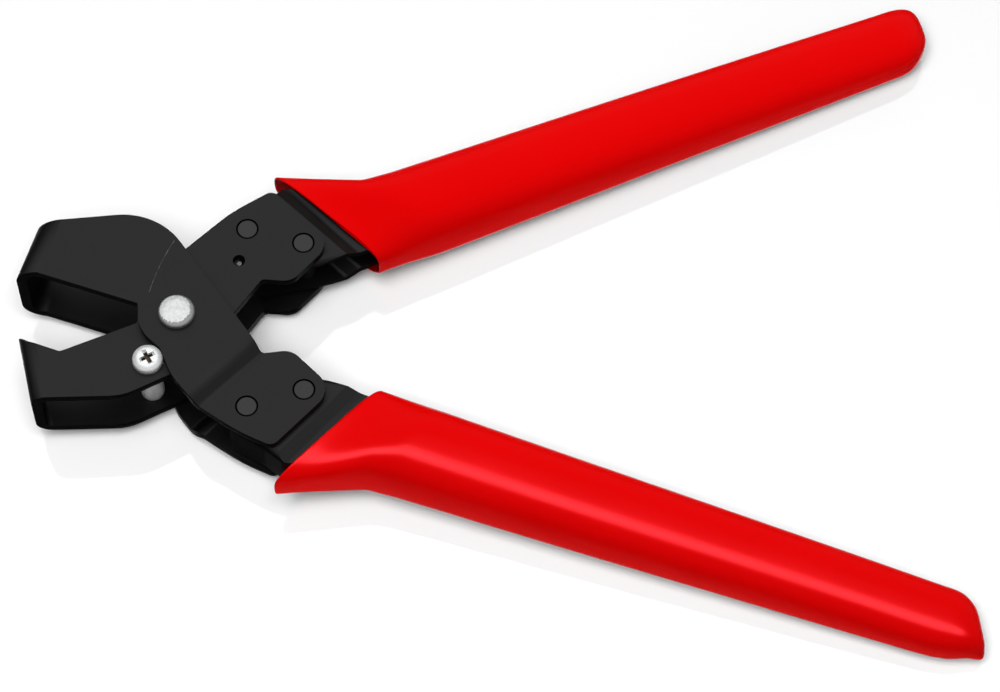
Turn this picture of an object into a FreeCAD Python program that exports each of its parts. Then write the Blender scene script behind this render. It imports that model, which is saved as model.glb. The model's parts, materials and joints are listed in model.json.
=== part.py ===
import FreeCAD, Part
import math
import os
from FreeCAD import Placement, Rotation, Vector

# Notching pliers: a U-shaped die lever and a U-shaped punch lever, each bent from one
# steel strap, turn on a riveted pivot pin.  Each strap is riveted to a pressed channel
# that carries a dipped grip.  A torsion spring round the pivot opens the jaws, and the
# head of a stop screw on the punch lever meets the edge of the die lever when they are open.
#
# Frame: +Z up along the pivot axis, origin on that axis at the face of the lower rivet
# head, which the tool rests on.  +X runs along the bisector of the open handles.
# The punch lever has its handle on the +Y side, the die lever on the -Y side.

# Driving dimensions, in millimetres and degrees: alias and value of each sheet cell.
DIMENSIONS = {
    "mid_height": 14.4,          # middle plane of the tool above the resting face
    "plate_thickness": 2.5,
    "punch_width": 20.0,         # width of the notch that the tool cuts
    "jaw_clearance": 0.1,        # between a punch plate and the die plate over it
    "die_reach": 43.0,           # pivot to the outside of the die's front wall
    "die_angle": 160.5,          # direction of the die jaw
    "die_bend_radius": 3.5,
    "punch_reach": 40.05,
    "punch_angle": 191.5,
    "punch_bend_radius": 1.7,
    "joggle_angle": -47.6,       # direction across the die plate's joggle
    "joggle_start": 18.8,
    "joggle_run": 3.2,
    "joggle_radius": 1.6,
    "handle_angle": 20.54,       # half of the angle between the open handles
    "handle_offset": 11.65,      # handle centre line above the pivot, along Y
    "handle_end": 211.3,         # end of the grip along its centre line
    "core_wall": 2.0,
    "core_bend_radius": 2.6,
    "core_end": 201.0,
    "core_end_height": 8.0,
    "core_taper_start": 62.0,
    "mouth_angle": 45.1,         # direction across the oblique mouth of a grip
    "mouth_distance": 46.75,     # pivot axis to the plane of the mouth
    "mouth_step": 2.2,           # how far the channel steps down under the mouth
    "mouth_step_start": 42.9,
    "mouth_step_run": 3.6,
    "grip_wall": 2.7,
    "pin_radius": 3.2,
    "pin_running_clearance": 0.06,
    "pin_head_radius": 4.65,
    "pin_head_height": 2.0,
    "sleeve_radius": 4.4,
    "rivet_radius": 2.5,
    "rivet_ring": 0.38,          # width of the groove round a rivet's flush end
    "rivet_ring_depth": 0.35,
    "stop_radius_from_pivot": 14.0,
    "stop_angle": 238.8,
    "stop_head_radius": 3.85,
    "stop_head_height": 2.7,
    "stop_thread_radius": 2.0,
    "stop_sleeve_radius": 3.0,
    "nut_flats": 6.8,
    "nut_height": 3.2,
    "spring_wire_radius": 0.75,
    "spring_coil_radius": 6.1,
    "spring_pitch": 1.9,
    "spring_turns": 3,           # whole turns; the legs add the rest
    "spring_level": -2.6,        # start of the coil, from the middle plane
    "spring_hole_radius": 1.6,
    "spring_hole_distance": 22.06,
    "spring_hole_angle": 45.7,
}

doc = FreeCAD.newDocument("notching_pliers")
sheet = doc.addObject("Spreadsheet::Sheet", "Dims")
for row, (alias, value) in enumerate(DIMENSIONS.items(), start=1):
    sheet.set(f"A{row}", alias)
    sheet.set(f"B{row}", str(value))
    sheet.setAlias(f"B{row}", alias)
doc.recompute()


def dim(alias):
    """The value of a sheet cell."""
    return float(sheet.get(alias))


# Levels above and below the middle plane.
PUNCH_OUT = dim("punch_width") / 2
PUNCH_IN = PUNCH_OUT - dim("plate_thickness")
DIE_IN = PUNCH_OUT + dim("jaw_clearance")
DIE_OUT = DIE_IN + dim("plate_thickness")

# Plan outlines: corners as (x, y, corner radius).  The end of the tab that is riveted to
# the handle is the same on both levers, seen from the handle's own side.
TAB_END = [
    (23.87, 35.76, 2.5),
    (39.2, 20.56, 5.5),
    (28.7, 9.65, 5.0),
    (21.2, 10.4, 1.5),
]
DIE_OUTLINE = [
    (-46.0, 12.9, 0),
    (-35.4, 12.15, 4.0),
    (-9.75, 2.95, 0.8),
    (-9.75, -4.35, 9.6),
    (-4.05, -9.4, 2.0),
    (-1.35, -16.8, 15.0),
    (3.1, -22.8, 20.0),
    (15.6, -31.9, 60.0),
] + [(x, -y, radius) for x, y, radius in TAB_END] + [
    (-5.24, 28.9, 18.0),
    (-46.0, 25.85, 0),
]
PUNCH_OUTLINE = [
    (-43.5, -1.1, 0),
    (-43.5, -21.5, 0),
    (-13.5, -21.3, 14.0),
    (3.43, -13.3, 6.0),
] + list(reversed(TAB_END)) + [
    (13.3, 29.55, 40.0),
    (-2.57, 15.54, 20.0),
    (-10.0, 2.68, 10.0),
    (-10.0, -1.25, 1.0),
    (-29.3, -8.8, 1.2),
    (-37.3, -5.75, 5.0),
]
RIVETS = {"front": (17.48, 24.8), "rear": (31.73, 20.55)}
STOP_SCREW_TURN = 28             # degrees, how the stop screw's recess lies

# The handle channel, on its own side of the tool.
FLARE_CORE_Y = 38.5              # the channel's outer edge where it flares out for the guard
CORE_FRONT_OUTER = (13.0, 29.4)
CORE_SHOULDER = (21.4, 34.5)
CORE_FRONT_INNER = (19.5, 12.5)
CORE_FLARE_FRONT = (26.3, FLARE_CORE_Y)
SHOULDER_RISE = 0.61             # slope of the channel's edge up to its shoulder
CORE_BEND_ALONG = 46.0           # where the channel's outer edge bends into line with the handle
CORE_INNER_START = (34.0, -8.6)  # along and across the handle, where the inner edge begins
CUT_BEYOND = 12.0                # how far a hollow runs out past the piece that it opens

# The grip: its outer edge at the flare, which closes on the handle, and its half sizes.
FLARE_TIP = (24.3, 41.5)
FLARE_CLOSING = 2.0              # degrees
GRIP_HALF_WIDTH, GRIP_WIDTH_TAPER = 12.0, 0.0218
GRIP_HALF_HEIGHT, GRIP_HEIGHT_TAPER = 9.9, 0.0255
GRIP_SIZES_AT = 60.0             # along the handle, where those sizes hold
GRIP_THIN_MOUTH = 2.3            # how much less high the grip is at its mouth
GRIP_THIN_RUN = (44.0, 62.0)     # along the handle, from the thin mouth to full height
GRIP_CORNER = 0.62               # corner radius of a section over its half height
GRIP_STATIONS = [                # along the handle, and how far the section has closed
    (20, 1), (33, 1), (44, 1), (51, 1), (58, 1), (66, 1), (80, 1), (130, 1), (185, 1),
    (200, 1), (205, 0.94), (208.5, 0.83),
]
GRIP_END_CLOSED = 0.55


def add(kind, name):
    return doc.addObject(kind, name)


def bind(thing, prop, expression):
    """Tie one property to the sheet."""
    thing.setExpression(prop, expression)


def arc_at(corner, before, after, radius):
    """Tangent points and centre of the rounding at a corner of an outline."""
    to_before = (before - corner).normalize()
    to_after = (after - corner).normalize()
    half = to_before.getAngle(to_after) / 2
    reach = radius / math.tan(half)
    centre = corner + (to_before + to_after).normalize() * (radius / math.sin(half))
    return corner + to_before * reach, corner + to_after * reach, centre


def rounded_outline(corners):
    """Lines and arcs of a closed outline with a radius at each corner."""
    points = [Vector(x, y, 0) for x, y, _ in corners]
    pieces = []
    for index, (_, _, radius) in enumerate(corners):
        corner = points[index]
        if radius == 0:
            pieces.append((corner, corner, None))
            continue
        following = points[(index + 1) % len(points)]
        start, end, centre = arc_at(corner, points[index - 1], following, radius)
        middle = centre + (corner - centre).normalize() * radius
        pieces.append((start, end, middle))
    edges = []
    for index, (start, end, middle) in enumerate(pieces):
        if middle is not None:
            edges.append(Part.Arc(start, middle, end))
        following = pieces[(index + 1) % len(pieces)][0]
        if (following - end).Length > 1e-6:
            edges.append(Part.LineSegment(end, following))
    return edges


def sketch(body, name, role, curves, offset=0.0):
    """A sketch on one of the body's own origin planes, holding the given curves."""
    plane = next(part for part in body.Origin.OriginFeatures if part.Role == role)
    made = body.newObject("Sketcher::SketchObject", name)
    made.AttachmentSupport = [(plane, "")]
    made.MapMode = "FlatFace"
    made.AttachmentOffset = Placement(Vector(0, 0, offset), Rotation())
    for curve in curves:
        made.addGeometry(curve, False)
    return made


def circle(x, y, radius):
    return Part.Circle(Vector(x, y, 0), Vector(0, 0, 1), radius)


def pad(body, name, profile, length):
    """A pad of a sketch, the same distance to both sides of it."""
    made = body.newObject("PartDesign::Pad", name)
    made.Profile = profile
    made.SideType = "Symmetric"
    if isinstance(length, str):
        bind(made, "Length", length)
    else:
        made.Length = length
    return made


def pocket(body, name, profile):
    """A pocket right through the body, to both sides of its sketch."""
    made = body.newObject("PartDesign::Pocket", name)
    made.Profile = profile
    made.SideType = "Symmetric"
    made.Type = "Length"
    made.Length = 80
    return made


def lever_placement(side):
    """Places plan geometry of a lever: side +1 as drawn, -1 turned over about the X axis."""
    turn = Rotation(Vector(1, 0, 0), 0 if side > 0 else 180)
    return Placement(Vector(0, 0, dim("mid_height")), turn)


def direction_placement(angle):
    """Places a body whose own +X axis runs along a direction in the plan."""
    return Placement(Vector(0, 0, dim("mid_height")), Rotation(Vector(0, 0, 1), angle))


def combine(kind, name, pieces):
    """A Part boolean of several objects, or of a base and a tool for a cut."""
    made = add(kind, name)
    if kind == "Part::Cut":
        made.Base, made.Tool = pieces
    else:
        made.Shapes = pieces
    made.Refine = True
    return made


# Straps -------------------------------------------------------------------------------

BEHIND_PIVOT = 6.0               # how far a jaw's flat plates run back past the pivot axis
STRAP_HALF_SPAN = 50.0


def jaw_band(name, angle, reach, inside, outside, inner_radius, back):
    """The strap folded into a U: two flat plates and the front wall between them."""
    thickness = outside - inside
    corners = [
        (-back, outside, 0),
        (reach, outside, inner_radius + thickness),
        (reach, -outside, inner_radius + thickness),
        (-back, -outside, 0),
        (-back, -inside, 0),
        (reach - thickness, -inside, inner_radius),
        (reach - thickness, inside, inner_radius),
        (-back, inside, 0),
    ]
    band = add("PartDesign::Body", name)
    profile = sketch(band, name + "_profile", "XZ_Plane", rounded_outline(corners))
    pad(band, name + "_pad", profile, 2 * STRAP_HALF_SPAN)
    band.Placement = direction_placement(angle)
    return band


def joggle_band(name, side):
    """One die plate where it steps in to the level of the handle channel."""
    thickness = dim("plate_thickness")
    start, run, radius = dim("joggle_start"), dim("joggle_run"), dim("joggle_radius")
    step = DIE_IN - PUNCH_IN
    slope = math.atan2(step, run)
    shift = thickness * math.tan(slope / 2)
    end = 62.0
    corners = [
        (-8.0, DIE_IN, 0),
        (start - shift, DIE_IN, radius),
        (start + run - shift, PUNCH_IN, radius + thickness),
        (end, PUNCH_IN, 0),
        (end, PUNCH_OUT, 0),
        (start + run, PUNCH_OUT, radius),
        (start, DIE_OUT, radius + thickness),
        (-8.0, DIE_OUT, 0),
    ]
    band = add("PartDesign::Body", name)
    profile = sketch(
        band, name + "_profile", "XZ_Plane",
        rounded_outline([(x, side * z, corner) for x, z, corner in corners]),
    )
    pad(band, name + "_pad", profile, 2 * STRAP_HALF_SPAN)
    band.Placement = direction_placement(dim("joggle_angle"))
    return band


def strap_plan(name, outline, holes):
    """The strap's plan outline as a tall prism with its holes through it."""
    plan = add("PartDesign::Body", name)
    pad(plan, name + "_pad", sketch(plan, name + "_outline", "XY_Plane", rounded_outline(outline)), 60)
    hole_sketch = sketch(plan, name + "_holes", "XY_Plane", [circle(*hole) for hole in holes])
    doc.recompute()
    pocket(plan, name + "_drill", hole_sketch)
    plan.Placement = lever_placement(1)
    return plan


def rivet_ring_cutters(name, side):
    """Shallow grooves in both tab faces round the rivets' flush ends."""
    cutters = []
    for place, (x, y) in RIVETS.items():
        for face in (1, -1):
            ring = add("Part::Cylinder", f"{name}_{place}_{'upper' if face > 0 else 'lower'}")
            bind(ring, "Radius", "Dims.rivet_radius + Dims.rivet_ring")
            bind(ring, "Height", "2 * Dims.rivet_ring_depth")
            level = dim("mid_height") + face * PUNCH_OUT - dim("rivet_ring_depth")
            ring.Placement = Placement(Vector(x, side * y, level), Rotation())
            cutters.append(ring)
    return combine("Part::MultiFuse", name, cutters)


rivet_radius = dim("rivet_radius")
spring_hole = (
    dim("spring_hole_distance") * math.cos(math.radians(dim("spring_hole_angle"))),
    dim("spring_hole_distance") * math.sin(math.radians(dim("spring_hole_angle"))),
)
stop_place = (
    dim("stop_radius_from_pivot") * math.cos(math.radians(dim("stop_angle"))),
    dim("stop_radius_from_pivot") * math.sin(math.radians(dim("stop_angle"))),
)


def die_strap():
    holes = [(0, 0, dim("pin_radius"))]
    holes += [(x, -y, rivet_radius) for x, y in RIVETS.values()]
    bands = combine("Part::MultiFuse", "die_bands", [
        jaw_band("die_jaw_band", dim("die_angle"), dim("die_reach"), DIE_IN, DIE_OUT,
                 dim("die_bend_radius"), BEHIND_PIVOT),
        joggle_band("die_upper_joggle", 1),
        joggle_band("die_lower_joggle", -1),
    ])
    plan = strap_plan("die_plan", DIE_OUTLINE, holes)
    blank = combine("Part::MultiCommon", "die_blank", [plan, bands])
    return combine("Part::Cut", "die_strap", [blank, rivet_ring_cutters("die_rivet_rings", -1)])


def punch_strap():
    holes = [(0, 0, dim("pin_radius") + dim("pin_running_clearance"))]
    holes += [(x, y, rivet_radius) for x, y in RIVETS.values()]
    holes.append((*stop_place, dim("stop_thread_radius")))
    holes.append((*spring_hole, dim("spring_hole_radius")))
    band = jaw_band("punch_band", dim("punch_angle"), dim("punch_reach"), PUNCH_IN, PUNCH_OUT,
                    dim("punch_bend_radius"), 70.0)
    plan = strap_plan("punch_plan", PUNCH_OUTLINE, holes)
    blank = combine("Part::MultiCommon", "punch_blank", [plan, band])
    return combine("Part::Cut", "punch_strap", [blank, rivet_ring_cutters("punch_rivet_rings", 1)])


# Handles ------------------------------------------------------------------------------

slant = math.radians(dim("handle_angle"))


def on_plan(along, across):
    """A point given along and across the handle's centre line, in the plan of its side."""
    return (
        along * math.cos(slant) - across * math.sin(slant),
        dim("handle_offset") + along * math.sin(slant) + across * math.cos(slant),
    )


def grip_half_width(along):
    return GRIP_HALF_WIDTH - GRIP_WIDTH_TAPER * (along - GRIP_SIZES_AT)


def grip_half_height(along):
    """Half the grip's height: thin at the mouth, full from the flare on, then tapering."""
    full = GRIP_HALF_HEIGHT - GRIP_HEIGHT_TAPER * (along - GRIP_SIZES_AT)
    thin_to, full_from = GRIP_THIN_RUN
    share = min(1.0, max(0.0, (full_from - along) / (full_from - thin_to)))
    return full - GRIP_THIN_MOUTH * share


def flare_across(along, level):
    """How far across the handle a line of constant Y lies."""
    return (level - dim("handle_offset") - along * math.sin(slant)) / math.cos(slant)


def to_handle(x, y):
    """A plan point in the handle's own frame: along it and across it."""
    rise = y - dim("handle_offset")
    return (x * math.cos(slant) + rise * math.sin(slant),
            rise * math.cos(slant) - x * math.sin(slant))


def grip_flare(along):
    """How far across the handle the flare's outer edge lies."""
    tip_along, tip_across = to_handle(*FLARE_TIP)
    return tip_across - (along - tip_along) * math.tan(slant + math.radians(FLARE_CLOSING))


def core_outline(inset, open_by):
    """Plan of the channel; inset thins its walls, open_by runs it out of its inner side."""
    wall = dim("grip_wall")
    end = dim("core_end") - inset
    outer_end = grip_half_width(end) - wall - inset
    outer_bend = grip_half_width(CORE_BEND_ALONG) - wall - inset
    inner_along, inner_across = CORE_INNER_START
    inner_end = -(grip_half_width(end) - wall) - open_by
    front_x, front_y = CORE_FRONT_OUTER
    flare_x, flare_y = CORE_FLARE_FRONT
    back = CUT_BEYOND if inset else 0.0
    shoulder_x, shoulder_y = CORE_SHOULDER
    shoulder_inset = inset * math.hypot(1, SHOULDER_RISE)
    level = flare_y - inset
    meet = (flare_across(0, level) - outer_bend) / math.tan(slant)
    corners = [
        (front_x - back, front_y - inset - back * SHOULDER_RISE, 0),
        (shoulder_x, shoulder_y - shoulder_inset, 8.0),
        (flare_x + 0.2 * inset, level, 2.0),
        (*on_plan(meet, outer_bend), 10.0),
        (*on_plan(end, outer_end), 0),
        (*on_plan(end, inner_end), 0),
        (*on_plan(inner_along, inner_across - open_by), 0),
        (CORE_FRONT_INNER[0] - back, CORE_FRONT_INNER[1] - open_by, 0 if inset else 3.0),
    ]
    return corners


def handle_placement():
    """The handle's own frame, on the side of +Y."""
    return Placement(Vector(0, dim("handle_offset"), 0),
                     Rotation(Vector(0, 0, 1), dim("handle_angle")))


def side_view_block(name, corners, width):
    """A block with this outline in side view."""
    body = add("PartDesign::Body", name)
    profile = sketch(body, name + "_profile", "XZ_Plane", rounded_outline(corners))
    pad(body, name + "_pad", profile, width)
    return body


def handle_taper(name, side, lower_by):
    """Side view of the channel: level near the pivot, then thinning to its end."""
    tall = PUNCH_IN - lower_by
    low = dim("core_end_height") / 2 - lower_by
    start, end = dim("core_taper_start"), dim("core_end") + 5
    soft = 60
    corners = [
        (-20, tall, 0), (start, tall, soft), (end, low, 0),
        (end, -low, 0), (start, -tall, soft), (-20, -tall, 0),
    ]
    body = side_view_block(name, corners, 80)
    body.Placement = lever_placement(side) * handle_placement()
    return body


def mouth_step(name, side, lower_by):
    """Side view of the channel square to the mouth: it steps down under the grip's lip."""
    tall = PUNCH_IN - lower_by
    low = tall - dim("mouth_step")
    start = dim("mouth_step_start")
    end = start + dim("mouth_step_run")
    near, far, soft = -60, 260, 2.0
    corners = [
        (near, tall, 0), (start, tall, soft), (end, low, soft), (far, low, 0),
        (far, -low, 0), (end, -low, soft), (start, -tall, soft), (near, -tall, 0),
    ]
    body = side_view_block(name, corners, 400)
    across = Placement(Vector(), Rotation(Vector(0, 0, 1), dim("mouth_angle")))
    body.Placement = lever_placement(side) * across
    return body


def channel_envelope(name, side):
    """The channel without its hollow, its long outer edges bent round."""
    body = add("PartDesign::Body", name + "_block")
    profile = sketch(body, name + "_block_outline", "XY_Plane", rounded_outline(core_outline(0, 0)))
    block = pad(body, name + "_block_pad", profile, 2 * PUNCH_IN)
    doc.recompute()
    bends = []
    for number, edge in enumerate(block.Shape.Edges, start=1):
        box = edge.BoundBox
        flat = box.ZLength < 1e-6
        middle = edge.valueAt((edge.FirstParameter + edge.LastParameter) / 2)
        across = (middle.y - dim("handle_offset")) * math.cos(slant) - middle.x * math.sin(slant)
        if flat and across > 4.0 and middle.x > 14 and edge.Length > 0.5:
            bends.append(f"Edge{number}")
    rounding = body.newObject("PartDesign::Fillet", name + "_bends")
    rounding.Base = (block, bends)
    bind(rounding, "Radius", "Dims.core_bend_radius")
    body.Placement = lever_placement(side)
    doc.recompute()
    taper = handle_taper(name + "_taper", side, 0)
    step = mouth_step(name + "_step", side, 0)
    return combine("Part::MultiCommon", name + "_envelope", [body, taper, step])


def handle_core(name, side):
    """A pressed channel, open towards the other handle."""
    wall = dim("core_wall")
    body = add("PartDesign::Body", name + "_hollow_plan")
    outline = rounded_outline(core_outline(wall, CUT_BEYOND))
    profile = sketch(body, name + "_hollow_outline", "XY_Plane", outline)
    pad(body, name + "_hollow_pad", profile, 2 * PUNCH_IN)
    body.Placement = lever_placement(side)
    taper = handle_taper(name + "_hollow_taper", side, wall)
    step = mouth_step(name + "_hollow_step", side, wall)
    hollow = combine("Part::MultiCommon", name + "_hollow", [body, taper, step])
    drilled = []
    for place, (x, y) in RIVETS.items():
        drill = add("Part::Cylinder", f"{name}_{place}_hole")
        bind(drill, "Radius", "Dims.rivet_radius")
        bind(drill, "Height", "Dims.punch_width")
        drill.Placement = Placement(Vector(x, side * y, dim("mid_height") - PUNCH_OUT), Rotation())
        drilled.append(drill)
    cuts = combine("Part::MultiFuse", name + "_cuts", [hollow] + drilled)
    envelope = channel_envelope(name, side)
    return combine("Part::Cut", name, [envelope, cuts]), envelope


def grip_section(along, shrink=1.0):
    """Corners of the grip's cross-section: across the handle and up."""
    inner = -grip_half_width(along) * shrink
    outer = max(grip_half_width(along), grip_flare(along)) * shrink
    height = grip_half_height(along) * shrink
    radius = GRIP_CORNER * height
    return [(inner, -height, radius), (outer, -height, radius),
            (outer, height, radius), (inner, height, radius)]


def handle_grip(name, side, envelope):
    """A dipped sleeve: lofted along the handle, flared at its mouth, round at its end."""
    body = add("PartDesign::Body", name + "_form")
    stations = GRIP_STATIONS + [(dim("handle_end"), GRIP_END_CLOSED)]
    profiles = [
        sketch(body, f"{name}_section_{number}", "YZ_Plane",
               rounded_outline(grip_section(along, shrink)), along)
        for number, (along, shrink) in enumerate(stations)
    ]
    loft = body.newObject("PartDesign::AdditiveLoft", name + "_loft")
    loft.Profile = profiles[0]
    loft.Sections = profiles[1:]
    loft.Ruled = True
    doc.recompute()
    # The mouth is an oblique vertical plane; everything on the pivot's side of it goes.
    reach = 60
    turned_by = math.radians(dim("mouth_angle"))
    square = Vector(math.cos(turned_by), math.sin(turned_by), 0)
    line = Vector(-square.y, square.x, 0) * reach
    foot = square * dim("mouth_distance")
    back = square * -reach
    corners = [foot + line, foot - line, foot - line + back, foot + line + back]
    local = [(*to_handle(corner.x, corner.y), 0) for corner in corners]
    mouth = sketch(body, name + "_mouth_line", "XY_Plane", rounded_outline(local))
    pocket(body, name + "_mouth", mouth)
    body.Placement = lever_placement(side) * handle_placement()
    return combine("Part::Cut", name, [body, envelope])


# Pins, rivets and the stop ------------------------------------------------------------

def turned(name, half_section, place=(0, 0), level=0.0):
    """A piece turned on an axis parallel to Z from half of its section (radius, height)."""
    body = add("PartDesign::Body", name)
    profile = sketch(body, name + "_section", "XZ_Plane", rounded_outline(half_section))
    spin = body.newObject("PartDesign::Revolution", name + "_turning")
    spin.Profile = profile
    axis = next(part for part in body.Origin.OriginFeatures if part.Role == "Z_Axis")
    spin.ReferenceAxis = (axis, [""])
    spin.Angle = 360
    body.Placement = Placement(Vector(*place, dim("mid_height") + level), Rotation())
    return body


def rivet(name, place, side):
    """A flush rivet through a tab, the channel's two flanges and the other tab."""
    edge = 0.25
    return turned(name, [
        (0, -PUNCH_OUT, 0), (rivet_radius, -PUNCH_OUT, edge),
        (rivet_radius, PUNCH_OUT, edge), (0, PUNCH_OUT, 0),
    ], (place[0], side * place[1]))


def pivot_pin():
    """The pivot rivet: low domed head above, flat riveted-over head below."""
    shank, head = dim("pin_radius"), dim("pin_head_radius")
    top = DIE_OUT + dim("pin_head_height")
    return turned("pivot_pin", [
        (0, -dim("mid_height"), 0),
        (head, -dim("mid_height"), 0.5),
        (head, -DIE_OUT, 0),
        (shank, -DIE_OUT, 0),
        (shank, DIE_OUT, 0),
        (head, DIE_OUT, 0),
        (head, DIE_OUT + 1.35, 0.9),
        (head - 1.7, top - 0.1, 2.5),
        (0, top, 0),
    ])


def tube(name, inner, outer, half_length, place=(0, 0)):
    edge = 0.2
    return turned(name, [
        (inner, -half_length, 0), (outer, -half_length, edge),
        (outer, half_length, edge), (inner, half_length, 0),
    ], place)


def cross_recess(name, level, depth, half_long):
    """Cutter for a cross recess: two tapered blades that meet on the screw's axis."""
    half_thin, beyond = 0.55, 0.01
    narrow_end, thin_end = 0.45, 0.7    # a blade's size at its deep end over its size above
    blades = []
    for turn in (STOP_SCREW_TURN, STOP_SCREW_TURN + 90):
        blade = add("Part::Wedge", f"{name}_{turn}")
        blade.Xmin, blade.Xmax = -half_long * narrow_end, half_long * narrow_end
        blade.Zmin, blade.Zmax = -half_thin * thin_end, half_thin * thin_end
        blade.Ymin, blade.Ymax = 0, depth + beyond
        blade.X2min, blade.X2max = -half_long, half_long
        blade.Z2min, blade.Z2max = -half_thin, half_thin
        stand = Rotation(Vector(1, 0, 0), 90)
        spin = Rotation(Vector(0, 0, 1), turn)
        blade.Placement = Placement(
            Vector(*stop_place, dim("mid_height") + level - depth), spin * stand)
        blades.append(blade)
    return combine("Part::MultiFuse", name, blades)


def stop_screw():
    """A pan-head machine screw with a cross recess."""
    head, thread = dim("stop_head_radius"), dim("stop_thread_radius")
    top = PUNCH_OUT + dim("stop_head_height")
    tail = -PUNCH_OUT - dim("nut_height") - 0.5
    blank = turned("stop_screw_blank", [
        (0, tail, 0), (thread, tail, 0.4), (thread, PUNCH_OUT, 0), (head, PUNCH_OUT, 0.3),
        (head, PUNCH_OUT + 1.6, 1.1), (head - 1.3, top, 1.6), (0, top, 0),
    ], stop_place)
    return combine("Part::Cut", "stop_screw", [blank, cross_recess("stop_recess", top, 1.5, 2.1)])


def stop_nut():
    """A hexagon nut under the lower punch plate."""
    body = add("PartDesign::Body", "stop_nut_blank")
    apothem = dim("nut_flats") / 2
    reach = apothem / math.cos(math.radians(30))
    flat_turn = 49.9                 # sets one flat square to the die plate's edge
    corners = [
        (reach * math.cos(math.radians(flat_turn + 60 * k)),
         reach * math.sin(math.radians(flat_turn + 60 * k)), 0) for k in range(6)
    ]
    profile = sketch(body, "stop_nut_hexagon", "XY_Plane",
                     rounded_outline(corners) + [circle(0, 0, dim("stop_thread_radius"))])
    pad(body, "stop_nut_pad", profile, "Dims.nut_height")
    level = dim("mid_height") - PUNCH_OUT - dim("nut_height") / 2
    body.Placement = Placement(Vector(*stop_place, level), Rotation())
    half, inner, outer, drop = dim("nut_height") / 2, reach - 0.45, reach + 0.15, 0.35
    chamfer = turned("stop_nut_cone", [
        (0, -half, 0), (inner, -half, 0), (outer, drop - half, 0),
        (outer, half - drop, 0), (inner, half, 0), (0, half, 0),
    ], stop_place, -PUNCH_OUT - half)
    return combine("Part::MultiCommon", "stop_nut", [body, chamfer])


# Spring -------------------------------------------------------------------------------

def opening_spring():
    """A torsion spring: a coil round the pivot and a leg towards each handle."""
    wire, coil, pitch = dim("spring_wire_radius"), dim("spring_coil_radius"), dim("spring_pitch")
    hook = Vector(*spring_hole, 0)
    rest_x, rest_y = RIVETS["front"][0], -RIVETS["front"][1]
    rest_distance = math.hypot(rest_x, rest_y)
    # The lower leg passes the die lever's front rivet on its inner side; both legs leave
    # the coil along its tangents.
    leg_gap = rivet_radius + wire + 0.1
    low_angle = math.atan2(rest_y, rest_x) - math.asin((coil - leg_gap) / rest_distance) + math.pi / 2
    high_angle = math.radians(dim("spring_hole_angle")) - math.acos(coil / hook.Length)
    swept = (high_angle - low_angle) % (2 * math.pi) + 2 * math.pi * dim("spring_turns")
    rise = pitch / (2 * math.pi)
    bottom = dim("spring_level")

    def on_coil(turn):
        return Vector(coil * math.cos(turn), coil * math.sin(turn), bottom + rise * (turn - low_angle))

    def tangent(turn):
        return Vector(-coil * math.sin(turn), coil * math.cos(turn), rise).normalize()

    helix = Part.makeHelix(pitch, rise * swept, coil)
    helix.rotate(Vector(), Vector(0, 0, 1), math.degrees(low_angle))
    helix.translate(Vector(0, 0, bottom))
    low_end = on_coil(low_angle) - tangent(low_angle) * (rest_distance + 3.0)
    last = low_angle + swept
    reach = math.sqrt(hook.Length ** 2 - coil ** 2) * math.hypot(coil, rise) / coil
    corner = on_coil(last) + tangent(last) * reach
    bend = 1.6
    bend_start, bend_end, centre = arc_at(
        corner, corner - tangent(last), corner + Vector(0, 0, 1), bend)
    bend_middle = centre + (corner - centre).normalize() * bend
    path = Part.Wire(
        [Part.LineSegment(low_end, on_coil(low_angle)).toShape()] + helix.Edges + [
            Part.LineSegment(on_coil(last), bend_start).toShape(),
            Part.Arc(bend_start, bend_middle, bend_end).toShape(),
            Part.LineSegment(bend_end, Vector(hook.x, hook.y, PUNCH_OUT - 0.5)).toShape(),
        ])
    ring = Part.Wire([Part.makeCircle(wire, low_end, tangent(low_angle))])
    spring = add("Part::Feature", "opening_spring")
    spring.Shape = path.makePipeShell([ring], True, False)
    spring.Placement = Placement(Vector(0, 0, dim("mid_height")), Rotation())
    print(f"spring wire {path.Length:.1f} mm, volume {spring.Shape.Volume:.1f} mm3,"
          f" section times length {math.pi * wire ** 2 * path.Length:.1f} mm3")
    return spring


# Assembly -----------------------------------------------------------------------------

parts = [die_strap(), punch_strap(), pivot_pin()]
for lever, side in (("die", -1), ("punch", 1)):
    core, envelope = handle_core(f"{lever}_handle_core", side)
    parts += [core, handle_grip(f"{lever}_grip", side, envelope)]
    parts += [rivet(f"{lever}_rivet_{place}", RIVETS[place], side) for place in RIVETS]
parts.append(tube("pivot_sleeve", dim("pin_radius") + dim("pin_running_clearance"),
                  dim("sleeve_radius"), PUNCH_IN))
parts.append(tube("stop_sleeve", dim("stop_thread_radius"), dim("stop_sleeve_radius"),
                  PUNCH_IN, stop_place))
parts += [stop_screw(), stop_nut(), opening_spring()]
doc.recompute()

for thing in doc.Objects:
    if "Invalid" in thing.State or "Error" in thing.State:
        raise RuntimeError(f"{thing.Label} failed: {thing.State}")
for part in parts:
    if part.Shape.isNull() or not part.Shape.isValid():
        raise RuntimeError(f"{part.Label} has no valid shape")
    if len(part.Shape.Solids) != 1:
        raise RuntimeError(f"{part.Label} has {len(part.Shape.Solids)} solids")

os.makedirs("parts", exist_ok=True)
for part in parts:
    part.Shape.exportStep(f"parts/{part.Label}.step")
    box = part.Shape.BoundBox
    print(f"{part.Label:20s} {part.Shape.Volume:10.1f} mm3  x {box.XMin:7.2f} {box.XMax:7.2f}"
          f"  y {box.YMin:7.2f} {box.YMax:7.2f}  z {box.ZMin:6.2f} {box.ZMax:6.2f}")
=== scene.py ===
import json
import math

import bmesh
import bpy
from mathutils import Matrix, Vector


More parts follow.
